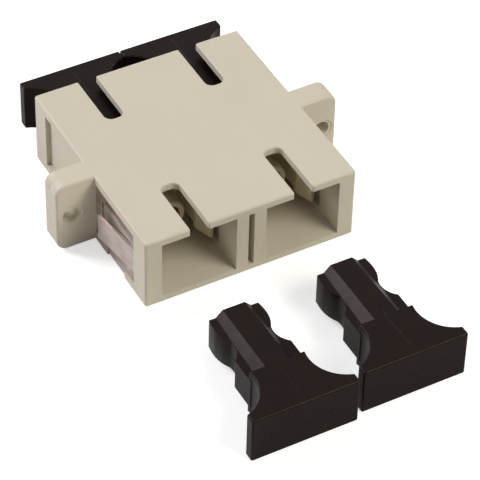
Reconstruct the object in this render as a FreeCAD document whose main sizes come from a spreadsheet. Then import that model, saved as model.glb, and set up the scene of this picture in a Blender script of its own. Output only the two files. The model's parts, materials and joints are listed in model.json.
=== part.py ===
"""Duplex SC fibre adapter: two optical channels side by side in one flanged housing.

Two identical plastic half-shells meet at the middle of the flange.  Each channel holds a pair
of hooked latches, a pair of sleeve holders and one split sleeve.  A folded steel clip wraps the
front half, and four dust caps close the ports: two are fitted at the rear, two lie in front.

Frame: +X to the right seen from the front, +Y along the optical axes towards the rear, +Z up.
The origin is the centre of the flange.  Lengths are in millimetres.
"""
import FreeCAD, Part
import math
import os
import re
import Sketcher

DOC = FreeCAD.newDocument("sc_duplex_adapter")
V = FreeCAD.Vector
UP = V(0, 0, 1)
AHEAD = V(0, 1, 0)
OVERCUT = 1.0        # how far a cutting tool runs past the surface that it opens

# ----------------------------------------------------------------- driving dimensions
SIZES = (
    ("channel_pitch", 12.7, "distance between the two optical axes"),
    # housing
    ("body_width", 25.8, "housing, along X"),
    ("body_length", 27.4, "housing, along Y, both halves together"),
    ("body_height", 9.3, "housing and flange, along Z"),
    ("edge_radius", 0.3, "rounding of the housing's outer edges"),
    ("flange_width", 35.0, "flange over both ears"),
    ("flange_thickness", 3.0, "flange along Y, both halves together"),
    ("flange_corner", 1.3, "radius of the ears' corners"),
    ("screw_inset", 1.8, "ear's end to the axis of its screw hole"),
    ("screw_hole", 2.0, "diameter of a screw hole"),
    ("screw_rim", 2.8, "diameter of the shallow rim round a screw hole"),
    ("screw_rim_floor", 2.4, "diameter of the rim where it ends"),
    ("screw_rim_depth", 0.15, "depth of that rim"),
    ("peg_diameter", 1.2, "locating peg on the mating face"),
    ("peg_length", 0.9, "how far a peg stands out"),
    ("peg_spacing", 28.4, "between the pegs and the peg holes, along X"),
    ("peg_rise", 3.2, "height of a peg above or below the middle"),
    ("peg_clearance", 0.05, "radial room round a peg"),
    # ports
    ("port_width", 9.1, "opening for a plug, along X"),
    ("port_height", 7.5, "opening for a plug, along Z"),
    ("keyway_width", 2.25, "slot for the plug's key"),
    ("keyway_length", 7.5, "slot length from the end face"),
    ("keyway_corner", 0.9, "radius of the slot's closed end"),
    ("keyway_rim", 0.2, "rounding of the slot's upper edge"),
    ("arm_pocket_land", 4.05, "side wall left between the end face and the pocket for a latch arm"),
    ("arm_pocket_depth", 0.6, "pocket in the side wall that a spread arm moves into"),
    ("arm_pocket_height", 6.5, "its height"),
    ("arm_pocket_end", 0.8, "side wall left between the pocket and the latch plate"),
    ("web_slot_width", 0.7, "sink slot between the ports"),
    ("web_slot_height", 7.4, "its height"),
    ("web_slot_depth", 8.0, "its depth from the end face"),
    # seat of the clip
    ("recess_depth", 0.5, "flat recess in each side wall"),
    ("recess_land", 2.8, "side wall left between the recess and the end face"),
    ("recess_top", 1.0, "side wall left above the recess"),
    ("recess_bottom", 1.15, "side wall left below the recess"),
    ("channel_depth", 0.4, "channel for the clip's strap, across the underside"),
    ("channel_side_room", 0.15, "room on each side of the strap"),
    # clip
    ("clip_gauge", 0.3, "thickness of the clip's sheet"),
    ("clip_edge_room", 0.06, "room between a side plate and the recess's rim"),
    ("clip_bend", 0.28, "outside radius of the clip's lower bends"),
    ("strap_width", 4.0, "strap under the housing, along Y"),
    ("strap_offset", 3.0, "flange face to the strap"),
    ("window_front", 1.15, "side plate left ahead of the window"),
    ("window_rear", 1.25, "side plate left behind the window"),
    ("window_above", 1.45, "side plate left above the window"),
    ("window_below", 1.0, "side plate left below the window"),
    ("tongue_height", 3.3, "sprung tongue, along Z"),
    ("tongue_length", 6.0, "sprung tongue, along Y"),
    ("tongue_lift", 0.95, "how far its free end stands out of the side plate"),
    ("tongue_slit", 0.3, "slit below the tongue"),
    # latches
    ("latch_plate_width", 10.4, "plate that the housing traps, along X"),
    ("latch_plate_height", 8.1, "the same, along Z"),
    ("latch_plate_thickness", 1.5, "the same, along Y"),
    ("fit_clearance", 0.05, "room round each trapped piece"),
    ("arm_thickness", 0.85, "latch arm, along X"),
    ("arm_height", 6.0, "latch arm, along Z"),
    ("arm_reach", 8.7, "middle of the adapter to the arm's tip"),
    ("arm_room", 0.15, "arm to the port's side wall"),
    ("arm_tip", 0.4, "thickness of the arm at its tip"),
    ("hook_crest", 6.65, "middle of the adapter to the start of the hook's crest"),
    ("hook_catch", 6.05, "middle of the adapter to the end of the crest"),
    ("hook_slope", 0.35, "length of the hook's catching slope"),
    ("hook_room", 0.15, "hook to the lobes of a cap that passes it"),
    # sleeve holders and sleeves
    ("sleeve_outer", 3.2, "split sleeve, outside diameter"),
    ("sleeve_bore", 2.49, "split sleeve, inside diameter"),
    ("sleeve_length", 11.4, "split sleeve, length"),
    ("sleeve_slit", 0.5, "width of the sleeve's slit"),
    ("sleeve_float", 0.2, "end play of the sleeve at each end"),
    ("holder_wall", 0.35, "wall of the tube round the sleeve"),
    ("holder_lip", 0.6, "length of the lip that keeps the sleeve in"),
    ("holder_lip_bore", 2.85, "bore of that lip"),
    ("holder_flange", 6.1, "diameter of the holder's flange"),
    ("holder_flange_thickness", 0.8, "thickness of the holder's flange"),
    ("holder_chamfer", 0.15, "lead on the tube's outer end"),
    # dust caps
    ("cap_width", 12.6, "outer plate, along X"),
    ("cap_height", 5.95, "outer plate, grip and core, along Z"),
    ("cap_plate", 1.25, "thickness of the outer plate"),
    ("cap_edge", 0.22, "rounding of the plate and grip"),
    ("cap_neck", 6.6, "grip where it ends, along X"),
    ("cap_grip", 6.3, "outer face to the end of the grip"),
    ("cap_grip_radius", 4.3, "hollow of the grip's sides"),
    ("cap_insert_height", 3.85, "block and lobes, along Z"),
    ("cap_block_end", 6.6, "end of the block to the nose"),
    ("cap_waist", 4.84, "waist between block and lobes, along X"),
    ("cap_waist_end", 3.9, "end of the waist to the nose"),
    ("cap_waist_radius", 2.6, "hollow of the waist"),
    ("cap_lobe", 6.16, "widest place of the lobes, along X"),
    ("cap_lobe_at", 1.6, "that widest place to the nose"),
    ("cap_lobe_end", 5.84, "lobes at the nose, along X"),
    ("cap_nose_room", 1.0, "nose of a fitted cap to the latch plate"),
    ("cap_core", 4.9, "eight-sided core at the step, along X"),
    ("cap_facet", 2.84, "its upper and lower flats, along X"),
    ("cap_draft", 1.3, "draft of the core towards the nose, in degrees"),
    ("cap_nose_edge", 0.2, "rounding of the nose"),
    ("socket_width", 4.3, "hollow of the nose that clears the sleeve holder, along X"),
    ("socket_height", 4.9, "the same, along Z"),
    ("socket_room", 0.3, "end of the hollow beyond the seated sleeve holder"),
    ("gate_mark", 0.45, "diameter of the moulding mark on the plate"),
    ("gate_mark_depth", 0.03, "depth of that mark"),
    ("cap_proud", 4.6, "outer face of a fitted cap beyond the end face"),
    ("left_cap_away", 24.75, "end face to the outer face of the loose left cap"),
    ("right_cap_away", 24.05, "end face to the outer face of the loose right cap"),
    ("left_cap_aside", 0.75, "how far the loose left cap lies to the left of its port"),
)


def fill_sheet():
    """Write every driving dimension into the sheet, one row each, under its alias."""
    sheet = DOC.addObject("Spreadsheet::Sheet", "sizes")
    for row, (alias, value, meaning) in enumerate(SIZES, 1):
        sheet.set(f"A{row}", meaning)
        sheet.set(f"B{row}", str(value))
        sheet.setAlias(f"B{row}", alias)
    DOC.recompute()
    return sheet


SHEET = fill_sheet()
ALIASES = {alias for alias, _, _ in SIZES}
LEFT, RIGHT = -1, 1
SIDES = {LEFT: "left", RIGHT: "right"}

# places that several pieces share, worked out from the driving dimensions
FRONT = "-body_length / 2"
FLANGE_FACE = "-flange_thickness / 2"
TOP = "body_height / 2"
BOTTOM = "-body_height / 2"
HOLDER_REACH = "sleeve_length / 2 + sleeve_float + holder_lip"
HOLDER_TUBE = "sleeve_outer + 2 * fit_clearance + 2 * holder_wall"
RECESS_FRONT = f"{FRONT} + recess_land"
STRAP_REAR = f"{FLANGE_FACE} - strap_offset"
SCREW_AXIS = "(flange_width / 2 - screw_inset)"
CAP_SEAT = "body_length / 2 + cap_proud"
CAP_LENGTH = f"({CAP_SEAT} - latch_plate_thickness - cap_nose_room)"


# ----------------------------------------------------------------- modelling helpers
def cells(text):
    """Turn the aliases in an expression into references to the sheet."""
    return re.sub(r"[a-z_]{3,}", lambda word: f"sizes.{word.group()}" if word.group() in ALIASES
                  else word.group(), str(text))


def value(text):
    """The present value of an expression, in millimetres."""
    return float(SHEET.evalExpression(cells(text)))


def around(centre, size):
    """The two ends of a stretch of a given size round a centre."""
    return f"({centre}) - ({size}) / 2", f"({centre}) + ({size}) / 2"


def outward(side, inner, outer):
    """The low and high end of a stretch from inner to outer, on the left or right side."""
    return (inner, outer) if side == RIGHT else (f"-({outer})", f"-({inner})")


def new_body(name):
    """A PartDesign body whose label is the name of its file."""
    body = DOC.addObject("PartDesign::Body", name)
    body.Label = name
    return body


def box(body, kind, name, x, y, z):
    """Add to, or cut from, a body a box between two places along each axis."""
    feature = body.newObject(f"PartDesign::{kind}Box", name)
    for axis, size, (low, high) in zip("xyz", ("Length", "Width", "Height"), (x, y, z)):
        feature.setExpression(size, cells(f"({high}) - ({low})"))
        feature.setExpression(f"Placement.Base.{axis}", cells(low))
    DOC.recompute()
    return feature


def rod(body, kind, name, diameter, y, x="0", z="0"):
    """Add to, or cut from, a body a cylinder that runs along Y."""
    feature = body.newObject(f"PartDesign::{kind}Cylinder", name)
    feature.Placement = FreeCAD.Placement(V(), FreeCAD.Rotation(V(1, 0, 0), -90))
    feature.setExpression("Radius", cells(f"({diameter}) / 2"))
    feature.setExpression("Height", cells(f"({y[1]}) - ({y[0]})"))
    for axis, place in zip("xyz", (x, y[0], z)):
        feature.setExpression(f"Placement.Base.{axis}", cells(place))
    DOC.recompute()
    return feature


def countersink(body, name, wide, narrow, y, x="0"):
    """Cut from a body a shallow cone along Y that narrows from the first place to the second."""
    feature = body.newObject("PartDesign::SubtractiveCone", name)
    feature.Placement = FreeCAD.Placement(V(), FreeCAD.Rotation(V(1, 0, 0), -90))
    feature.setExpression("Radius1", cells(f"({wide}) / 2"))
    feature.setExpression("Radius2", cells(f"({narrow}) / 2"))
    feature.setExpression("Height", cells(f"({y[1]}) - ({y[0]})"))
    for axis, place in zip("xyz", (x, y[0], "0")):
        feature.setExpression(f"Placement.Base.{axis}", cells(place))
    DOC.recompute()
    return feature


def soften(body, kind, name, size, wanted):
    """Fillet or chamfer the edges of a body's tip for which wanted(edge) is true."""
    base = body.Tip
    names = [f"Edge{index}" for index, edge in enumerate(base.Shape.Edges, 1) if wanted(edge)]
    feature = body.newObject(f"PartDesign::{kind}", name)
    feature.Base = (base, names)
    feature.setExpression("Radius" if kind == "Fillet" else "Size", cells(size))
    DOC.recompute()
    return feature


def near(first, second):
    """Whether two lengths are the same to a thousandth of a millimetre."""
    return abs(first - second) < 1e-3


def runs_along(edge, axis):
    """Whether an edge is straight and parallel to a direction."""
    if edge.Degenerated or not isinstance(edge.Curve, Part.Line):
        return False
    return near(abs(edge.Curve.Direction.dot(axis)), 1)


def arc_between(start, end, radius, bulge):
    """An arc from start to end that bulges to the left (1) or right (-1) of that direction."""
    chord = end - start
    normal = V(-chord.y, chord.x, 0).normalize() * bulge
    depth = math.sqrt(radius ** 2 - (chord.Length / 2) ** 2)
    centre = (start + end) / 2 - normal * depth
    ends = (end, start) if bulge > 0 else (start, end)
    angles = [math.atan2(point.y - centre.y, point.x - centre.x) for point in ends]
    return Part.ArcOfCircle(Part.Circle(centre, UP, radius), *angles)


def outline(body, name, plane, corners, bends=None, offset=None):
    """A closed, fully constrained sketch through corners given as pairs of expressions.

    bends gives some sides, by number, as arcs: (radius, bulge), as arc_between takes them.
    """
    bends = bends or {}
    sketch = body.newObject("Sketcher::SketchObject", name)
    support = next(item for item in body.Origin.OriginFeatures if item.Role == plane)
    sketch.AttachmentSupport = [(support, "")]
    sketch.MapMode = "FlatFace"
    if offset:
        sketch.setExpression("AttachmentOffset.Base.z", cells(offset))
    points = [V(value(x), value(y), 0) for x, y in corners]
    starts, ends = [], []
    for side, start in enumerate(points):
        end = points[(side + 1) % len(points)]
        radius, bulge = bends.get(side, (None, -1))
        curve = arc_between(start, end, value(radius), bulge) if radius else Part.LineSegment(start, end)
        sketch.addGeometry(curve)
        starts.append(1 if bulge < 0 else 2)
        ends.append(2 if bulge < 0 else 1)
        if radius:
            number = sketch.addConstraint(Sketcher.Constraint("Radius", side, value(radius)))
            sketch.setExpression(f"Constraints[{number}]", cells(radius))
    for side, corner in enumerate(corners):
        following = (side + 1) % len(corners)
        meeting = Sketcher.Constraint("Coincident", side, ends[side], following, starts[following])
        sketch.addConstraint(meeting)
        for kind, place in zip(("DistanceX", "DistanceY"), corner):
            rule = Sketcher.Constraint(kind, -1, 1, side, starts[side], value(place))
            number = sketch.addConstraint(rule)
            sketch.setExpression(f"Constraints[{number}]", cells(place))
    DOC.recompute()
    return sketch


def pad_both_ways(body, name, sketch, length):
    """Add a sketch's section to a body, half of the length on each side of its plane."""
    pad = body.newObject("PartDesign::Pad", name)
    pad.Profile = sketch
    pad.SideType = "Symmetric"
    pad.setExpression("Length", cells(length))
    DOC.recompute()
    return pad


def place(body, x="0", y="0", z="0", turned=False):
    """Put a body in the assembly, turned end for end about Z where it belongs to the rear."""
    body.Placement = FreeCAD.Placement(V(), FreeCAD.Rotation(UP, 180 if turned else 0))
    for axis, spot in zip("xyz", (x, y, z)):
        body.setExpression(f"Placement.Base.{axis}", cells(spot))
    return body


# ----------------------------------------------------------------- housing
def shell_block(body):
    """The block of one housing half and its flange ears, with their rounded outer edges."""
    box(body, "Additive", "block", around("0", "body_width"), (FRONT, "0"), (BOTTOM, TOP))
    box(body, "Additive", "flange", around("0", "flange_width"), (FLANGE_FACE, "0"), (BOTTOM, TOP))
    ear_end, wall, top = value("flange_width / 2"), value("body_width / 2"), value(TOP)
    front, face = value(FRONT), value(FLANGE_FACE)
    soften(body, "Fillet", "ear_corners", "flange_corner",
           lambda edge: runs_along(edge, AHEAD) and near(abs(edge.CenterOfMass.x), ear_end))

    def outer(edge):
        aside = abs(edge.CenterOfMass.x)
        on_end_face = all(near(end.Y, front) for end in edge.Vertexes)
        on_ear = all(near(end.Y, face) for end in edge.Vertexes) and aside > wall + 0.1
        lengthwise = runs_along(edge, AHEAD) and near(aside, wall) and near(abs(edge.CenterOfMass.z), top)
        return on_end_face or on_ear or lengthwise

    soften(body, "Fillet", "outer_edges", "edge_radius", outer)


def port(body, side):
    """One port with the pocket behind it and the keyway in its upper wall."""
    name = SIDES[side]
    axis = f"{side} * channel_pitch / 2"
    keyway_end = f"{FRONT} + keyway_length"
    box(body, "Subtractive", f"port_{name}", around(axis, "port_width"),
        (f"{FRONT} - {OVERCUT}", "0"), around("0", "port_height"))
    box(body, "Subtractive", f"pocket_{name}", around(axis, "latch_plate_width + 2 * fit_clearance"),
        ("-latch_plate_thickness", OVERCUT), around("0", "latch_plate_height + 2 * fit_clearance"))
    box(body, "Subtractive", f"keyway_{name}", around(axis, "keyway_width"),
        (f"{FRONT} - {OVERCUT}", keyway_end), ("0", f"{TOP} + {OVERCUT}"))
    box(body, "Subtractive", f"arm_pockets_{name}", around(axis, "port_width + 2 * arm_pocket_depth"),
        (f"{FRONT} + arm_pocket_land", "-latch_plate_thickness - arm_pocket_end"),
        around("0", "arm_pocket_height"))
    end, middle, half = value(keyway_end), value(axis), value("keyway_width / 2")
    soften(body, "Fillet", f"keyway_end_{name}", "keyway_corner",
           lambda edge: runs_along(edge, UP) and near(edge.CenterOfMass.y, end)
           and near(abs(edge.CenterOfMass.x - middle), half))


def keyway_rims(body):
    """Round the upper edges of both keyways."""
    top, length = value(TOP), value("body_length / 2")
    inner, outer = value("(channel_pitch - keyway_width) / 2"), value("(channel_pitch + keyway_width) / 2")

    def on_rim(edge):
        spot = edge.BoundBox.Center
        inside = inner - 0.01 < abs(spot.x) < outer + 0.01 and spot.y > -length + 0.5
        return near(edge.BoundBox.ZMin, top) and near(edge.BoundBox.ZMax, top) and inside

    soften(body, "Fillet", "keyway_rims", "keyway_rim", on_rim)


def clip_seat(body):
    """The recesses in both side walls and the channel underneath, where the clip lies."""
    side_wall = "body_width / 2"
    strap = (f"{STRAP_REAR} - strap_width - channel_side_room", f"{STRAP_REAR} + channel_side_room")
    for side, name in SIDES.items():
        depth = outward(side, f"{side_wall} - recess_depth", f"{side_wall} + {OVERCUT}")
        box(body, "Subtractive", f"recess_{name}", depth, (RECESS_FRONT, FLANGE_FACE),
            (f"{BOTTOM} + recess_bottom", f"{TOP} - recess_top"))
        box(body, "Subtractive", f"channel_{name}", depth, strap,
            (f"{BOTTOM} - {OVERCUT}", f"{BOTTOM} + recess_bottom"))
    box(body, "Subtractive", "channel", around("0", "body_width"), strap,
        (f"{BOTTOM} - {OVERCUT}", f"{BOTTOM} + channel_depth"))


def ears(body):
    """Screw holes through both ears, the locating pegs on one and their holes in the other."""
    for side, name in SIDES.items():
        axis = f"{side} * {SCREW_AXIS}"
        rod(body, "Subtractive", f"screw_hole_{name}", "screw_hole",
            (f"{FLANGE_FACE} - {OVERCUT}", OVERCUT), x=axis)
        countersink(body, f"screw_rim_{name}", "screw_rim", "screw_rim_floor",
                    (FLANGE_FACE, f"{FLANGE_FACE} + screw_rim_depth"), x=axis)
    for level in (-1, 1):
        number = "upper" if level > 0 else "lower"
        rod(body, "Additive", f"peg_{number}", "peg_diameter", ("-peg_clearance", "peg_length"),
            x="peg_spacing / 2", z=f"{level} * peg_rise")
        rod(body, "Subtractive", f"peg_hole_{number}", "peg_diameter + 2 * peg_clearance",
            ("-peg_length - peg_clearance", OVERCUT), x="-peg_spacing / 2", z=f"{level} * peg_rise")


def housing(name, turned):
    """One moulded half of the housing; the rear half is the same moulding, turned round."""
    body = new_body(name)
    shell_block(body)
    for side in SIDES:
        port(body, side)
    keyway_rims(body)
    box(body, "Subtractive", "web_slot", around("0", "web_slot_width"),
        (f"{FRONT} - {OVERCUT}", f"{FRONT} + web_slot_depth"), around("0", "web_slot_height"))
    clip_seat(body)
    ears(body)
    return place(body, turned=turned)


# ----------------------------------------------------------------- panel clip
def panel_clip():
    """The folded steel clip: two side plates with sprung tongues, joined by a strap below."""
    body = new_body("panel_clip")
    inner = "body_width / 2 - recess_depth"
    outer = f"{inner} + clip_gauge"
    lowest = f"{BOTTOM} + channel_depth - clip_gauge"
    plate_y = (f"{RECESS_FRONT} + clip_edge_room", f"{FLANGE_FACE} - clip_edge_room")
    plate_z = (f"{BOTTOM} + recess_bottom + clip_edge_room", f"{TOP} - recess_top - clip_edge_room")
    strap_y = (f"{STRAP_REAR} - strap_width", STRAP_REAR)
    window_y = (f"{plate_y[0]} + window_front", f"{plate_y[1]} - window_rear")
    window_z = (f"{plate_z[0]} + window_below", f"{plate_z[1]} - window_above")
    box(body, "Additive", "strap", around("0", f"2 * ({outer})"), strap_y,
        (lowest, f"{BOTTOM} + channel_depth"))
    for side, name in SIDES.items():
        sheet = outward(side, inner, outer)
        box(body, "Additive", f"leg_{name}", sheet, strap_y, (lowest, plate_z[0]))
        box(body, "Additive", f"plate_{name}", sheet, plate_y, plate_z)
        box(body, "Subtractive", f"window_{name}", sheet, window_y, window_z)
    lowest_edge, outermost = value(lowest), value(outer)
    soften(body, "Fillet", "bends", "clip_bend",
           lambda edge: runs_along(edge, AHEAD) and near(edge.CenterOfMass.z, lowest_edge)
           and near(abs(edge.CenterOfMass.x), outermost))
    tongue_low = f"{window_z[0]} + tongue_slit"
    tongue_middle = f"{tongue_low} + tongue_height / 2"
    for side, name in SIDES.items():
        root, tip = window_y[0], f"{window_y[0]} + tongue_length"
        corners = [(f"{side} * ({inner})", f"{root} - clip_gauge"),
                   (f"{side} * ({outer})", f"{root} - clip_gauge"),
                   (f"{side} * ({outer} + tongue_lift)", tip),
                   (f"{side} * ({inner} + tongue_lift)", tip)]
        sketch = outline(body, f"tongue_outline_{name}", "XY_Plane", corners, offset=tongue_middle)
        pad_both_ways(body, f"tongue_{name}", sketch, "tongue_height")
    return body


# ----------------------------------------------------------------- inside each channel
def latch(name, axis, turned):
    """A latch: the trapped plate with two sprung arms whose hooks hold a plug."""
    body = new_body(name)
    box(body, "Additive", "plate", around("0", "latch_plate_width"),
        ("-latch_plate_thickness", "0"), around("0", "latch_plate_height"))
    outer = "port_width / 2 - arm_room"
    crest = "cap_lobe / 2 + hook_room"
    root = "-latch_plate_thickness / 2"
    for side, side_name in SIDES.items():
        profile = [(outer, root), (outer, "-arm_reach"), (f"{outer} - arm_tip", "-arm_reach"),
                   (crest, "-hook_crest"), (crest, "-hook_catch"),
                   (f"{outer} - arm_thickness", "-hook_catch + hook_slope"),
                   (f"{outer} - arm_thickness", root)]
        corners = [(f"{side} * ({x})", y) for x, y in profile]
        sketch = outline(body, f"arm_outline_{side_name}", "XY_Plane", corners)
        pad_both_ways(body, f"arm_{side_name}", sketch, "arm_height")
    rod(body, "Subtractive", "tube_hole", f"{HOLDER_TUBE} + 2 * fit_clearance",
        ("-latch_plate_thickness - 1", OVERCUT))
    rod(body, "Subtractive", "flange_seat", "holder_flange + 2 * fit_clearance",
        ("-holder_flange_thickness", OVERCUT))
    return place(body, x=axis, turned=turned)


def sleeve_holder(name, axis, turned):
    """A tube with a flange: it holds one half of the split sleeve and lets it float."""
    body = new_body(name)
    rod(body, "Additive", "tube", HOLDER_TUBE, (f"-({HOLDER_REACH})", "0"))
    end = value(f"-({HOLDER_REACH})")
    soften(body, "Chamfer", "lead", "holder_chamfer", lambda edge: near(edge.CenterOfMass.y, end))
    rod(body, "Additive", "flange", "holder_flange", ("-holder_flange_thickness", "0"))
    rod(body, "Subtractive", "bore", "sleeve_outer + 2 * fit_clearance",
        ("-(sleeve_length / 2 + sleeve_float)", OVERCUT))
    rod(body, "Subtractive", "lip_bore", "holder_lip_bore", (f"-({HOLDER_REACH}) - {OVERCUT}", "0"))
    return place(body, x=axis, turned=turned)


def split_sleeve(name, axis):
    """The bronze sleeve, slit along its length, that lines up two ferrules."""
    body = new_body(name)
    length = around("0", "sleeve_length")
    rod(body, "Additive", "tube", "sleeve_outer", length)
    rod(body, "Subtractive", "bore", "sleeve_bore", around("0", f"sleeve_length + {OVERCUT}"))
    box(body, "Subtractive", "slit", around("0", "sleeve_slit"), length, ("0", "sleeve_outer"))
    return place(body, x=axis)


# ----------------------------------------------------------------- dust caps
def mirrored(half):
    """A closed outline from its right half, which is listed from the outer face to the nose."""
    return half + [(f"-({x})", y) for x, y in reversed(half)]


def cap_grip(body):
    """The outer plate and the grip behind it, hollowed on both sides for finger and thumb."""
    half = [("cap_width / 2", "0"), ("cap_width / 2", "cap_plate"), ("cap_neck / 2", "cap_grip")]
    arc = ("cap_grip_radius", 1)
    sketch = outline(body, "grip_outline", "XY_Plane", mirrored(half), {1: arc, 3: arc})
    pad_both_ways(body, "grip", sketch, "cap_height")
    soften(body, "Fillet", "grip_edges", "cap_edge",
           lambda edge: not near(edge.BoundBox.YMin, value("cap_grip")))


def level_radius(across, along):
    """Radius of an arc that runs level at one end and has moved across by the other."""
    return f"(({across}) ^ 2 + ({along}) ^ 2) / (2 * ({across}))"


def cap_insert(body):
    """The block, the waist that clears the hooks and the lobes behind them."""
    half = [("cap_neck / 2", "cap_grip - cap_edge * 2"),
            ("cap_neck / 2", f"{CAP_LENGTH} - cap_block_end"),
            ("cap_waist / 2", f"{CAP_LENGTH} - cap_waist_end"),
            ("cap_lobe / 2", f"{CAP_LENGTH} - cap_lobe_at"), ("cap_lobe_end / 2", CAP_LENGTH)]
    waist = ("cap_waist_radius", 1)
    swell = (level_radius("(cap_lobe - cap_waist) / 2", "cap_waist_end - cap_lobe_at"), -1)
    shrink = (level_radius("(cap_lobe - cap_lobe_end) / 2", "cap_lobe_at"), -1)
    sketch = outline(body, "insert_outline", "XY_Plane", mirrored(half),
                     {1: waist, 2: swell, 3: shrink, 5: shrink, 6: swell, 7: waist})
    pad_both_ways(body, "insert", sketch, "cap_insert_height")


def cap_core(body):
    """The drafted eight-sided core, flush with the grip above and below."""
    start = "cap_grip - cap_edge * 2"
    quarter = [("cap_facet / 2", "cap_height / 2"), ("cap_core / 2", "cap_insert_height / 2")]
    right = quarter + [(x, f"-({z})") for x, z in reversed(quarter)]
    section = outline(body, "core_outline", "XZ_Plane", mirrored(right), offset=f"-({start})")
    core = body.newObject("PartDesign::Pad", "core")
    core.Profile = section
    core.Reversed = True
    core.setExpression("Length", cells(f"{CAP_LENGTH} - ({start})"))
    core.setExpression("TaperAngle", cells("-cap_draft"))
    DOC.recompute()
    nose_end = value(CAP_LENGTH)
    soften(body, "Fillet", "nose_edges", "cap_nose_edge",
           lambda edge: near(edge.BoundBox.YMin, nose_end) and near(edge.BoundBox.YMax, nose_end))


def cap_socket(body):
    """The oblong hollow in the nose, which clears the sleeve holder of the port."""
    bottom = f"{CAP_SEAT} - ({HOLDER_REACH}) - socket_room"
    middle = "(socket_height - socket_width) / 2"
    stretch = (bottom, f"{CAP_LENGTH} + {OVERCUT}")
    for level, place_name in ((-1, "lower"), (1, "upper")):
        rod(body, "Subtractive", f"socket_{place_name}", "socket_width", stretch, z=f"{level} * {middle}")
    box(body, "Subtractive", "socket_middle", around("0", "socket_width"), stretch,
        around("0", "socket_height - socket_width"))


def dust_cap(name, x, y, z="0", turned=False):
    """One moulded dust cap, modelled from its outer face at Y = 0 to its nose."""
    body = new_body(name)
    cap_grip(body)
    cap_insert(body)
    cap_core(body)
    cap_socket(body)
    rod(body, "Subtractive", "gate_mark", "gate_mark", (-OVERCUT, "gate_mark_depth"))
    return place(body, x, y, z, turned)


# ----------------------------------------------------------------- assembly
def channel_pieces(side):
    """The trapped pieces of one channel: two latches, two sleeve holders and the sleeve."""
    name = SIDES[side]
    axis = f"{side} * channel_pitch / 2"
    pieces = [split_sleeve(f"split_sleeve_{name}", axis)]
    for end, turned in (("front", False), ("rear", True)):
        pieces.append(latch(f"latch_{end}_{name}", axis, turned))
        pieces.append(sleeve_holder(f"sleeve_holder_{end}_{name}", axis, turned))
    return pieces


def dust_caps():
    """Two caps seated in the rear ports and two that lie on the table in front."""
    table = f"{BOTTOM} + cap_height / 2"
    loose = {LEFT: ("-channel_pitch / 2 - left_cap_aside", f"{FRONT} - left_cap_away"),
             RIGHT: ("channel_pitch / 2", f"{FRONT} - right_cap_away")}
    caps = []
    for side, name in SIDES.items():
        caps.append(dust_cap(f"dust_cap_rear_{name}", f"{side} * channel_pitch / 2", CAP_SEAT, turned=True))
        caps.append(dust_cap(f"dust_cap_front_{name}", *loose[side], z=table))
    return caps


def check(pieces):
    """Stop before anything is written if a feature failed or a piece isn't one sound solid."""
    failed = [item.Name for item in DOC.Objects if {"Invalid", "Error"} & set(item.State)]
    if failed:
        raise RuntimeError(f"failed features: {failed}")
    for piece in pieces:
        shape = piece.Shape
        if shape.isNull() or not shape.isValid() or len(shape.Solids) != 1:
            raise RuntimeError(f"{piece.Label} isn't one sound solid")


def main():
    """Build every piece, check them all and write one STEP file for each."""
    pieces = [housing("front_housing", False), housing("rear_housing", True), panel_clip()]
    for side in SIDES:
        pieces += channel_pieces(side)
    pieces += dust_caps()
    DOC.recompute()
    check(pieces)
    os.makedirs("parts", exist_ok=True)
    for piece in pieces:
        piece.Shape.exportStep(f"parts/{piece.Label}.step")
        print(f"{piece.Label:24s} {piece.Shape.Volume:9.3f} mm3")


main()
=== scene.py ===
"""Looks of a duplex SC fibre adapter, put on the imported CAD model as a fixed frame.

The CAD nodes keep their shapes.  This script softens their edges, gives each of them its finish,
adds a fine mould line to each dust cap, and sets the floor, the light and the camera.  Lengths are
written in millimetres, unless a comment says otherwise, and turned into metres where Blender takes
them.
"""

from __future__ import annotations

import json
import logging
import math
from abc import ABC, abstractmethod
from dataclasses import dataclass
from enum import Enum

import bmesh
import bpy
from mathutils import Matrix, Vector

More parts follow.
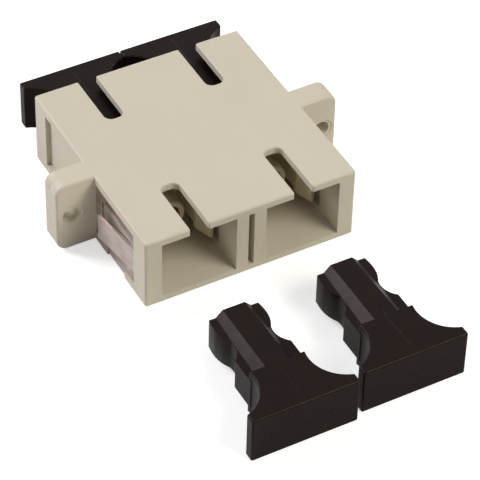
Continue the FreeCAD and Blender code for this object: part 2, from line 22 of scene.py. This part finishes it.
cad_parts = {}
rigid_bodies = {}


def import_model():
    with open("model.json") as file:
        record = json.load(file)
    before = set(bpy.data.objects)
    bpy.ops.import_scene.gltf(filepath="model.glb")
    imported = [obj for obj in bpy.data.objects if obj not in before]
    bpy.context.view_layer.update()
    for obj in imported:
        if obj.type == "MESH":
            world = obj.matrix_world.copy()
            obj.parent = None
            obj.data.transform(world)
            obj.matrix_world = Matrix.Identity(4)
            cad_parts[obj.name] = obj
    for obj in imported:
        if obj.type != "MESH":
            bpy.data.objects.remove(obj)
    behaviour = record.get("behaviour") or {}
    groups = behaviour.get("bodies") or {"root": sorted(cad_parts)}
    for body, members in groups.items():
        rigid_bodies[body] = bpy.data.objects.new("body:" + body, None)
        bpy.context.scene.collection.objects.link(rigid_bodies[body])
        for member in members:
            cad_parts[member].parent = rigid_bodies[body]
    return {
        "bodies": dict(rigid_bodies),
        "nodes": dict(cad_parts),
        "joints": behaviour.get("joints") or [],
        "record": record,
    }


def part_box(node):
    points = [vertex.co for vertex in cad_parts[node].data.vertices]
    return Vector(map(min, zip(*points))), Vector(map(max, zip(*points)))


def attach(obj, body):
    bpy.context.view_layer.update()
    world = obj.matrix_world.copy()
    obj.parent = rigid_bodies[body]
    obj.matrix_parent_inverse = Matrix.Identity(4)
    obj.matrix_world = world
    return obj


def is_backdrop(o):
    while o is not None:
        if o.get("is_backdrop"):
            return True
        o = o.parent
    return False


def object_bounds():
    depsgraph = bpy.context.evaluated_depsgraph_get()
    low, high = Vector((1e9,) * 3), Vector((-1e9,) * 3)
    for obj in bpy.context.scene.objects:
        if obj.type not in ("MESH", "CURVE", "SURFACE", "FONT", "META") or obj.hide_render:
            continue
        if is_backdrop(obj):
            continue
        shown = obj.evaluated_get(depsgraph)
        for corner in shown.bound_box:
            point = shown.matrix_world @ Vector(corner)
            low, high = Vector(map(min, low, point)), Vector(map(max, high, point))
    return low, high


log = logging.getLogger("adapter_scene")

MM = 0.001
Colour = tuple[float, float, float]

# Stretch of a noise that turns it into lines along Y.
LENGTHWISE = Vector((1, 0.03, 1))
DRAG_LINE = 0.22            # distance between the lines that a part draws as it leaves the mould
GLINT_CELL = 0.9             # size of the cells that may each carry a pale speck, a painted glint
GLINT_RADIUS = 0.075         # radius of a speck, as a share of its cell
GLINT_OWN, GLINT_PALE = 0.35, 0.08    # a painted glint's colour: a share of the plastic's own, plus this level
SCATTER_RADIUS = (0.9, 0.7, 0.5)
SCATTER_DEPTH = 0.4
BRONZE_LINE, BRONZE_LINE_DEPTH = 0.12, 0.004
CLIP_TONGUE = (-2.14, 1.16)         # lower and upper edge of the clip's sprung tongues, which bound the steel's lit band

FLOOR_HALF = 900.0          # half the floor's side
FLOOR_GAP = 0.005           # floor to the lowest point of the object
FLOOR_GLOW = 0.55           # what the camera sees of the floor beyond the light on it
FLOOR_GLOW_MIRRORED = 0.18  # the same in reflections
AMBIENT = 0.17              # light of the surround on the object; it is seen as plain white


class Slot(Enum):
    """Material slots of the record."""

    HOUSING = "housing_plastic"
    CLIP = "spring_steel"
    LATCH = "latch_plastic"
    HOLDER = "holder_plastic"
    SLEEVE = "bronze"
    CAP = "cap_plastic"


def srgb(red: int, green: int, blue: int) -> Colour:
    """Turn a display colour into the linear colour that shaders take.

    Args:
        red, green, blue: Display values from 0 to 255.

    Returns:
        The linear colour.
    """

    def linear(level: float) -> float:
        return level / 12.92 if level <= 0.04045 else ((level + 0.055) / 1.055) ** 2.4

    return linear(red / 255), linear(green / 255), linear(blue / 255)


# ------------------------------------------------------------------------------- finishes
class ShaderTree:
    """A material's nodes, with short calls for the ones that the finishes share."""

    def __init__(self, name: str) -> None:
        self.material = bpy.data.materials.new(name)
        self.material.use_nodes = True
        self.nodes = self.material.node_tree.nodes
        self.surface = self.nodes["Principled BSDF"]
        self.place = self.add("ShaderNodeTexCoord").outputs["Object"]

    def add(self, kind: str, inputs: dict | None = None, **settings):
        """Add a node, set its properties, and set or link its inputs.

        Args:
            kind: The node's type.
            inputs: Values or sockets by the input's name or number.
            **settings: Properties of the node itself.

        Returns:
            The node.
        """
        node = self.nodes.new(kind)
        for name, setting in settings.items():
            setattr(node, name, setting)
        for name, source in (inputs or {}).items():
            self.put(node.inputs[name], source)
        return node

    def put(self, socket, source) -> None:
        """Set a socket to a value, or link it where the source is a socket itself."""
        if isinstance(source, bpy.types.NodeSocket):
            self.material.node_tree.links.new(source, socket)
        else:
            socket.default_value = source

    def set(self, **inputs) -> None:
        """Set or link inputs of the surface shader; underscores in a name stand for spaces."""
        for name, source in inputs.items():
            self.put(self.surface.inputs[name.replace("_", " ").title()], source)

    def stretched(self, stretch: Vector):
        """Object coordinates scaled by a factor along each axis."""
        mapping = self.add("ShaderNodeMapping", {"Vector": self.place, "Scale": stretch})
        return mapping.outputs["Vector"]

    def noise(self, size: float, detail: float = 2.0, stretch: Vector = Vector((1, 1, 1))):
        """Noise between 0 and 1 whose features are about size millimetres across."""
        inputs = {"Vector": self.stretched(stretch), "Scale": 1 / (size * MM), "Detail": detail}
        return self.add("ShaderNodeTexNoise", inputs).outputs["Fac"]

    def spread(self, fac, low: float, high: float, start: float = 0.3, end: float = 0.7):
        """Map a noise value onto a range."""
        inputs = {"Value": fac, "From Min": start, "From Max": end, "To Min": low, "To Max": high}
        return self.add("ShaderNodeMapRange", inputs).outputs["Result"]

    def mix(self, fac, first: Colour, second: Colour):
        """Mix two colours."""
        node = self.add("ShaderNodeMix", {0: fac}, data_type="RGBA")
        self.put(node.inputs[6], (*first, 1) if isinstance(first, tuple) else first)
        self.put(node.inputs[7], (*second, 1) if isinstance(second, tuple) else second)
        return node.outputs[2]

    def bump(self, height, depth: float, after=None):
        """A bump of a given depth in millimetres, on top of an earlier one if there is one."""
        inputs = {"Height": height, "Distance": depth * MM, "Strength": 1.0}
        if after is not None:
            inputs["Normal"] = after
        return self.add("ShaderNodeBump", inputs).outputs["Normal"]


class Finish(ABC):
    """How one kind of surface looks."""

    @abstractmethod
    def build(self, name: str) -> bpy.types.Material:
        """Make the material.

        Args:
            name: The material's name.

        Returns:
            The new material.
        """


@dataclass(frozen=True)
class MouldedPlastic(Finish):
    """Injection-moulded plastic with a spark-eroded grain.

    Attributes:
        colour: Colour of the plastic.
        shade: Colour towards which it drifts in faint clouds.
        roughness: Roughness of the surface where the mould is fresh.
        polish: Roughness where it is worn smoother.
        specular: Strength of the reflection of light.
        grain: Size of the grain, in millimetres.
        grain_depth: Depth of the grain, in millimetres.
        clouds: Size of the clouds, in millimetres.
        depth_scatter: Share of the light that scatters below the surface.
        gleam: Colour of that reflection.
        drag: Depth of the fine lines along Y that the part drew as it left the mould, in millimetres.
        dust: Share of the surface's cells that carry a pale speck, a painted glint of reflected light.
    """

    colour: Colour
    shade: Colour
    roughness: float
    polish: float
    specular: float
    grain: float
    grain_depth: float
    clouds: float = 6.0
    depth_scatter: float = 0.0
    gleam: Colour = (1.0, 1.0, 1.0)
    drag: float = 0.0
    dust: float = 0.0

    def build(self, name: str) -> bpy.types.Material:
        tree = ShaderTree(name)
        clouds = tree.noise(self.clouds, detail=3.0)
        specks = tree.noise(self.grain * 1.7, detail=1.0)
        tone = tree.spread(tree.add("ShaderNodeMath", {0: clouds, 1: specks},
                                    operation="MULTIPLY").outputs[0], 0, 1, 0.12, 0.42)
        plastic = tree.mix(tone, self.shade, self.colour)
        # Painted glints: pale specks in the plastic's colour stand in for sparkles of reflected light.
        if self.dust:
            pale = tuple(level * GLINT_OWN + GLINT_PALE for level in self.colour)
            plastic = tree.mix(self.specks(tree), plastic, pale)
        tree.set(base_color=plastic)
        tree.set(roughness=tree.spread(tree.noise(self.clouds / 3), self.polish, self.roughness))
        fine = tree.bump(tree.noise(self.grain, detail=2.0), self.grain_depth)
        if self.drag:
            fine = tree.bump(tree.noise(DRAG_LINE, stretch=LENGTHWISE), self.drag, after=fine)
        tree.set(normal=tree.bump(tree.noise(self.clouds / 2), self.grain_depth * 2, after=fine))
        tree.surface.inputs["Specular IOR Level"].default_value = self.specular
        tree.surface.inputs["Specular Tint"].default_value = (*self.gleam, 1)
        tree.surface.inputs["Subsurface Weight"].default_value = self.depth_scatter
        tree.surface.inputs["Subsurface Radius"].default_value = SCATTER_RADIUS
        tree.surface.inputs["Subsurface Scale"].default_value = SCATTER_DEPTH * MM
        return tree.material

    def specks(self, tree: ShaderTree):
        """Painted glints: small round pale specks, one in each of a share of the cells the surface is
        divided into.

        Args:
            tree: The material's nodes.

        Returns:
            A socket that is 1 inside a speck and 0 elsewhere.
        """
        grid = {"Vector": tree.place, "Scale": 1 / (GLINT_CELL * MM)}
        cells = tree.add("ShaderNodeTexVoronoi", grid).outputs
        near = tree.add("ShaderNodeMath", {0: cells["Distance"], 1: GLINT_RADIUS},
                        operation="LESS_THAN").outputs[0]
        draw = tree.add("ShaderNodeSeparateColor", {"Color": cells["Color"]}).outputs[0]
        chosen = tree.add("ShaderNodeMath", {0: draw, 1: self.dust}, operation="LESS_THAN").outputs[0]
        return tree.add("ShaderNodeMath", {0: near, 1: chosen}, operation="MULTIPLY").outputs[0]


@dataclass(frozen=True)
class RolledSteel(Finish):
    """Thin rolled steel sheet with fine lines along one direction, and painted shade above and below a lit
    band.

    Attributes:
        colour: Colour of the metal.
        stain: Colour of the darker streaks.
        tarnish_and_painted_shade: Colour of the painted shade on the metal above and below the lit band.
        lit_band: Lowest and highest edge of the lit band, which keeps the lighter colour, in millimetres.
        roughness: Roughness between the lines.
        line: Distance between rolling lines, in millimetres.
        line_depth: Depth of the lines, in millimetres.
    """

    colour: Colour
    stain: Colour
    tarnish_and_painted_shade: Colour
    lit_band: tuple[float, float]
    roughness: float
    line: float
    line_depth: float

    def build(self, name: str) -> bpy.types.Material:
        tree = ShaderTree(name)
        lines = tree.noise(self.line, detail=3.0, stretch=Vector((1, 0.04, 1)))
        stains = tree.noise(2.4, detail=4.0, stretch=Vector((1, 0.5, 1)))
        tone = tree.spread(stains, 0, 1, 0.35, 0.62)
        low, high = (edge * MM for edge in self.lit_band)
        # Painted shade: outside the lit band between the tongues' edges the metal takes a darker colour,
        # standing in for the tongues' shadow and dark reflections on the plate.
        level = tree.add("ShaderNodeSeparateXYZ", {"Vector": tree.place}).outputs["Z"]
        outside_lit_band = tree.add("ShaderNodeMath", {0: level, 1: (low + high) / 2, 2: (high - low) / 2},
                              operation="COMPARE").outputs[0]
        metal = tree.mix(tone, self.stain, self.colour)
        shaded_metal = tree.mix(tone, self.tarnish_and_painted_shade, self.stain)
        tree.set(base_color=tree.mix(outside_lit_band, shaded_metal, metal), metallic=1.0)
        tree.set(roughness=tree.spread(lines, self.roughness, self.roughness + 0.16))
        tree.set(normal=tree.bump(lines, self.line_depth))
        return tree.material


@dataclass(frozen=True)
class DrawnBronze(Finish):
    """Drawn tube with faint lines round it and slightly tarnished patches.

    Attributes:
        colour: Colour of the clean metal.
        tarnish_and_painted_shade: Colour of the tarnished patches.
        roughness: Roughness of the clean metal.
    """

    colour: Colour
    tarnish_and_painted_shade: Colour
    roughness: float

    def build(self, name: str) -> bpy.types.Material:
        tree = ShaderTree(name)
        patches = tree.spread(tree.noise(1.5, detail=4.0), 0, 1, 0.4, 0.65)
        lines = tree.noise(BRONZE_LINE, detail=2.0, stretch=Vector((0.1, 1, 0.1)))
        tree.set(base_color=tree.mix(patches, self.tarnish_and_painted_shade, self.colour), metallic=1.0)
        tree.set(roughness=tree.spread(patches, self.roughness + 0.2, self.roughness))
        tree.set(normal=tree.bump(lines, BRONZE_LINE_DEPTH))
        return tree.material


FINISHES: dict[Slot, Finish] = {
    Slot.HOUSING: MouldedPlastic(srgb(204, 196, 178), srgb(200, 191, 172), roughness=0.52, polish=0.44,
                                 specular=0.35, grain=0.10, grain_depth=0.002, depth_scatter=0.05),
    Slot.LATCH: MouldedPlastic(srgb(224, 214, 186), srgb(216, 205, 176), roughness=0.5, polish=0.4,
                               specular=0.35, grain=0.10, grain_depth=0.002),
    Slot.HOLDER: MouldedPlastic(srgb(214, 204, 182), srgb(205, 194, 170), roughness=0.45, polish=0.36,
                                specular=0.4, grain=0.08, grain_depth=0.002),
    Slot.CAP: MouldedPlastic(srgb(26, 17, 14), srgb(20, 13, 11), roughness=0.34, polish=0.27,
                             specular=0.10, gleam=(1.0, 0.82, 0.76), grain=0.16, grain_depth=0.014,
                             clouds=4.0, drag=0.003, dust=0.12),
    # The clip's steel carries painted shade above and below its tongues; the band between their edges keeps
    # the lighter, lit colour.
    Slot.CLIP: RolledSteel(srgb(220, 207, 204), srgb(190, 174, 168), tarnish_and_painted_shade=srgb(142, 122, 112),
                           lit_band=CLIP_TONGUE, roughness=0.26, line=0.09, line_depth=0.003),
    Slot.SLEEVE: DrawnBronze(srgb(206, 160, 98), srgb(160, 116, 66), roughness=0.24),
}


# ------------------------------------------------------------------------- dressing the nodes
@dataclass(frozen=True)
class EdgeBreak:
    """A small rounding on every sharp edge of a node.

    Attributes:
        width: Width of the rounding, in millimetres.
        sharp: Least angle between two faces that counts as an edge, in degrees.
        segments: Number of faces across the rounding.
    """

    width: float
    sharp: float = 35.0
    segments: int = 2

    def put_on(self, node: bpy.types.Object) -> None:
        """Add the modifiers that round the node's edges."""
        weld = node.modifiers.new("joined_faces", "WELD")
        weld.merge_threshold = 0.0005 * MM
        bevel = node.modifiers.new("broken_edges", "BEVEL")
        bevel.width = self.width * MM
        bevel.segments = self.segments
        bevel.limit_method = "ANGLE"
        bevel.angle_limit = math.radians(self.sharp)
        bevel.harden_normals = True
        bevel.use_clamp_overlap = True
        bevel.miter_outer = "MITER_ARC"


EDGES: dict[Slot, EdgeBreak] = {
    Slot.HOUSING: EdgeBreak(0.10),
    Slot.LATCH: EdgeBreak(0.06),
    Slot.HOLDER: EdgeBreak(0.04),
    Slot.CAP: EdgeBreak(0.07),
    Slot.CLIP: EdgeBreak(0.08),
    Slot.SLEEVE: EdgeBreak(0.03),
}


class Wardrobe:
    """The materials by slot, and the dressing of the CAD nodes with them."""

    def __init__(self, frame: dict) -> None:
        self.frame = frame
        self.materials = {slot: finish.build(slot.value) for slot, finish in FINISHES.items()}
        self.slots = {part["node"]: Slot(part["material_slot"]) for part in frame["record"]["subparts"]}

    def dress(self) -> None:
        """Give every CAD node its finish and its broken edges."""
        for name, node in self.frame["nodes"].items():
            slot = self.slots[name]
            node.data.materials.clear()
            node.data.materials.append(self.materials[slot])
            EDGES[slot].put_on(node)
        log.info("dressed %d nodes", len(self.slots))


# ------------------------------------------------------------------------------- mould lines
@dataclass(frozen=True)
class MouldLine:
    """A low ridge along the middle of a cap's upper face, where two inserts of its mould met.

    Attributes:
        cap: The cap's node.
        outward: Way of the cap's outer end along Y, -1 or 1.
        start: From the cap's outer end to the ridge, in millimetres.
        length: Length of the ridge, in millimetres.
        width: Width of its foot, in millimetres.
        height: Its height, in millimetres.
    """

    cap: str
    outward: int
    start: float = 1.0
    length: float = 5.2
    width: float = 0.13
    height: float = 0.035

    def build(self, material: bpy.types.Material) -> bpy.types.Object:
        """Make the ridge, which moves with its cap.

        Args:
            material: The material of the ridge.

        Returns:
            The ridge's object.
        """
        low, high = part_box(self.cap)
        outer_end = high.y if self.outward > 0 else low.y
        middle = outer_end - self.outward * (self.start + self.length / 2) * MM
        sunk = self.height / 2
        shape = bmesh.new()
        corners = bmesh.ops.create_cube(shape, size=1.0)["verts"]
        crest = [corner for corner in corners if corner.co.z > 0]
        bmesh.ops.scale(shape, vec=(0.3, 0.94, 1), verts=crest)
        bmesh.ops.scale(shape, vec=(self.width * MM, self.length * MM, (self.height + sunk) * MM),
                        verts=shape.verts)
        place = ((low.x + high.x) / 2, middle, high.z + (self.height - sunk) / 2 * MM)
        bmesh.ops.translate(shape, vec=place, verts=shape.verts)
        name = f"mould_line_{self.cap.removeprefix('dust_cap_')}"
        mesh = bpy.data.meshes.new(name)
        shape.to_mesh(mesh)
        shape.free()
        mesh.materials.append(material)
        ridge = bpy.data.objects.new(name, mesh)
        bpy.context.scene.collection.objects.link(ridge)
        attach(ridge, self.cap.removeprefix("dust_"))
        return ridge


MOULD_LINES = (
    MouldLine("dust_cap_front_left", -1),
    MouldLine("dust_cap_front_right", -1, start=1.3, length=5.6),
    MouldLine("dust_cap_rear_left", 1),
    MouldLine("dust_cap_rear_right", 1),
)


# ------------------------------------------------------------------------------------ studio
@dataclass(frozen=True)
class Softbox:
    """A square area light that looks at the object.

    Attributes:
        name: The light's name.
        azimuth: Where it stands, in degrees from +X towards +Y.
        elevation: How high it stands, in degrees.
        distance: How far it stands, in millimetres.
        size: Its width and height, in millimetres.
        brightness: Radiance of its face, where 1 is display white.
        tint: Its colour.
    """

    name: str
    azimuth: float
    elevation: float
    distance: float
    size: tuple[float, float]
    brightness: float
    tint: Colour

    def hang(self, target: Vector) -> bpy.types.Object:
        """Put the light up.

        Args:
            target: The point it looks at, in metres.

        Returns:
            The light's object.
        """
        flat, rise = math.radians(self.azimuth), math.radians(self.elevation)
        away = Vector((math.cos(flat) * math.cos(rise), math.sin(flat) * math.cos(rise), math.sin(rise)))
        lamp = bpy.data.lights.new(self.name, "AREA")
        lamp.shape = "RECTANGLE"
        lamp.size, lamp.size_y = (side * MM for side in self.size)
        lamp.energy = self.brightness * math.pi * lamp.size * lamp.size_y
        lamp.color = self.tint
        box = bpy.data.objects.new(self.name, lamp)
        box.location = target + away * self.distance * MM
        box.rotation_euler = away.to_track_quat("Z", "Y").to_euler()
        bpy.context.scene.collection.objects.link(box)
        return box


SOFTBOXES = (
    Softbox("key", -56, 43, 420, (190, 190), 10.4, (0.965, 0.94, 0.85)),
    Softbox("back", 134, 31, 420, (120, 220), 15.4, (0.90, 0.91, 0.96)),
    Softbox("back_high", 134, 55, 420, (200, 120), 2.6, (0.90, 0.93, 1.0)),
    Softbox("right_fill", -15, 40, 420, (200, 160), 1.6, (0.86, 0.95, 1.0)),
)


class Studio:
    """Floor, surroundings and lights.

    Attributes:
        low: Lowest corner of the object's box, in metres.
        high: Highest corner of the box, in metres.
    """

    def __init__(self, low: Vector, high: Vector) -> None:
        self.low, self.high = low, high

    def lay_floor(self) -> None:
        """Lay a large pale floor just under the object, which keeps its shadow."""
        middle = (self.low + self.high) / 2
        mesh = bpy.data.meshes.new("floor")
        shape = bmesh.new()
        bmesh.ops.create_grid(shape, x_segments=1, y_segments=1, size=FLOOR_HALF * MM)
        shape.to_mesh(mesh)
        shape.free()
        floor = bpy.data.objects.new("floor", mesh)
        floor.location = (middle.x, middle.y, self.low.z - FLOOR_GAP * MM)
        mesh.materials.append(self.paper())
        bpy.context.scene.collection.objects.link(floor)
        floor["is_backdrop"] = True

    def paper(self) -> bpy.types.Material:
        """Matt white paper that the camera and reflections see a little brighter than it is lit."""
        tree = ShaderTree("paper")
        fibres = tree.noise(3.0, detail=3.0)
        tree.set(base_color=tree.mix(tree.spread(fibres, 0, 1), srgb(226, 225, 223), srgb(231, 230, 228)))
        tree.set(roughness=0.9)
        tree.surface.inputs["Specular IOR Level"].default_value = 0.1
        tree.surface.inputs["Emission Color"].default_value = (1, 1, 1, 1)
        rays = tree.add("ShaderNodeLightPath").outputs
        mirrored = tree.add("ShaderNodeMath", {0: rays["Is Glossy Ray"], 1: rays["Is Transmission Ray"]},
                            operation="MAXIMUM").outputs[0]
        faint = tree.add("ShaderNodeMath", {0: mirrored, 1: FLOOR_GLOW_MIRRORED},
                         operation="MULTIPLY").outputs[0]
        seen = tree.add("ShaderNodeMath", {0: rays["Is Camera Ray"], 1: FLOOR_GLOW, 2: faint},
                        operation="MULTIPLY_ADD")
        tree.put(tree.surface.inputs["Emission Strength"], seen.outputs[0])
        return tree.material

    def surround(self) -> None:
        """A plain pale surround, seen white and lighting the object evenly from all sides."""
        world = bpy.data.worlds.new("surround")
        bpy.context.scene.world = world
        world.use_nodes = True
        nodes, links = world.node_tree.nodes, world.node_tree.links
        rays = nodes.new("ShaderNodeLightPath").outputs
        direct = nodes.new("ShaderNodeMath")
        direct.operation = "MAXIMUM"
        links.new(rays["Is Camera Ray"], direct.inputs[0])
        mirrored = nodes.new("ShaderNodeMath")
        mirrored.operation = "MAXIMUM"
        links.new(rays["Is Glossy Ray"], mirrored.inputs[0])
        links.new(rays["Is Transmission Ray"], mirrored.inputs[1])
        links.new(mirrored.outputs[0], direct.inputs[1])
        level = nodes.new("ShaderNodeMapRange")
        level.inputs["To Min"].default_value = AMBIENT
        links.new(direct.outputs[0], level.inputs["Value"])
        background = nodes["Background"]
        background.inputs["Color"].default_value = (1, 1, 1, 1)
        links.new(level.outputs["Result"], background.inputs["Strength"])

    def build(self) -> None:
        """Set up everything round the object."""
        self.lay_floor()
        self.surround()
        middle = (self.low + self.high) / 2
        for softbox in SOFTBOXES:
            softbox.hang(middle)
        bpy.context.scene.view_settings.view_transform = "Standard"


# ------------------------------------------------------------------------------------ camera
@dataclass(frozen=True)
class Viewpoint:
    """A camera that looks at the origin from the front left and above.

    Attributes:
        yaw: Turn of the line of sight from +Y towards +X, in degrees.
        pitch: Dip of the line of sight, in degrees.
        roll: Turn of the picture about the line of sight, in degrees.
        distance: From the camera to the origin's plane, in millimetres.
        across: How far the camera stands to the right of that line, in millimetres.
        above: How far it stands above that line, in millimetres.
        lens: Focal length, in millimetres, for a sensor 36 mm wide.
    """

    yaw: float
    pitch: float
    roll: float
    distance: float
    across: float
    above: float
    lens: float

    def build(self) -> bpy.types.Object:
        """Make the camera and make it the scene's own."""
        yaw, pitch, roll = (math.radians(angle) for angle in (self.yaw, self.pitch, self.roll))
        ahead = Vector((math.sin(yaw) * math.cos(pitch), math.cos(yaw) * math.cos(pitch), -math.sin(pitch)))
        level = Vector((math.cos(yaw), -math.sin(yaw), 0))
        upright = level.cross(ahead)
        right = level * math.cos(roll) + upright * math.sin(roll)
        up = upright * math.cos(roll) - level * math.sin(roll)
        camera = bpy.data.objects.new("camera", bpy.data.cameras.new("camera"))
        camera.data.sensor_width = 36.0
        camera.data.lens = self.lens
        camera.data.clip_start, camera.data.clip_end = 0.01, 10.0
        place = (right * self.across + up * self.above - ahead * self.distance) * MM
        turn = Matrix((right, up, -ahead)).transposed().to_4x4()
        camera.matrix_world = Matrix.Translation(place) @ turn
        bpy.context.scene.collection.objects.link(camera)
        bpy.context.scene.camera = camera
        return camera


VIEWPOINT = Viewpoint(yaw=29.53, pitch=43.47, roll=1.58, distance=300.58, across=5.28, above=-8.47,
                      lens=202.02)


# -------------------------------------------------------------------------------------- main
def main() -> None:
    """Dress the adapter and set the scene."""
    logging.basicConfig(level=logging.INFO, format="%(name)s: %(message)s")
    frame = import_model()
    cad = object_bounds()
    wardrobe = Wardrobe(frame)
    wardrobe.dress()
    for line in MOULD_LINES:
        line.build(wardrobe.materials[Slot.CAP])
    Studio(*cad).build()
    VIEWPOINT.build()


if __name__ == "__main__":
    main()
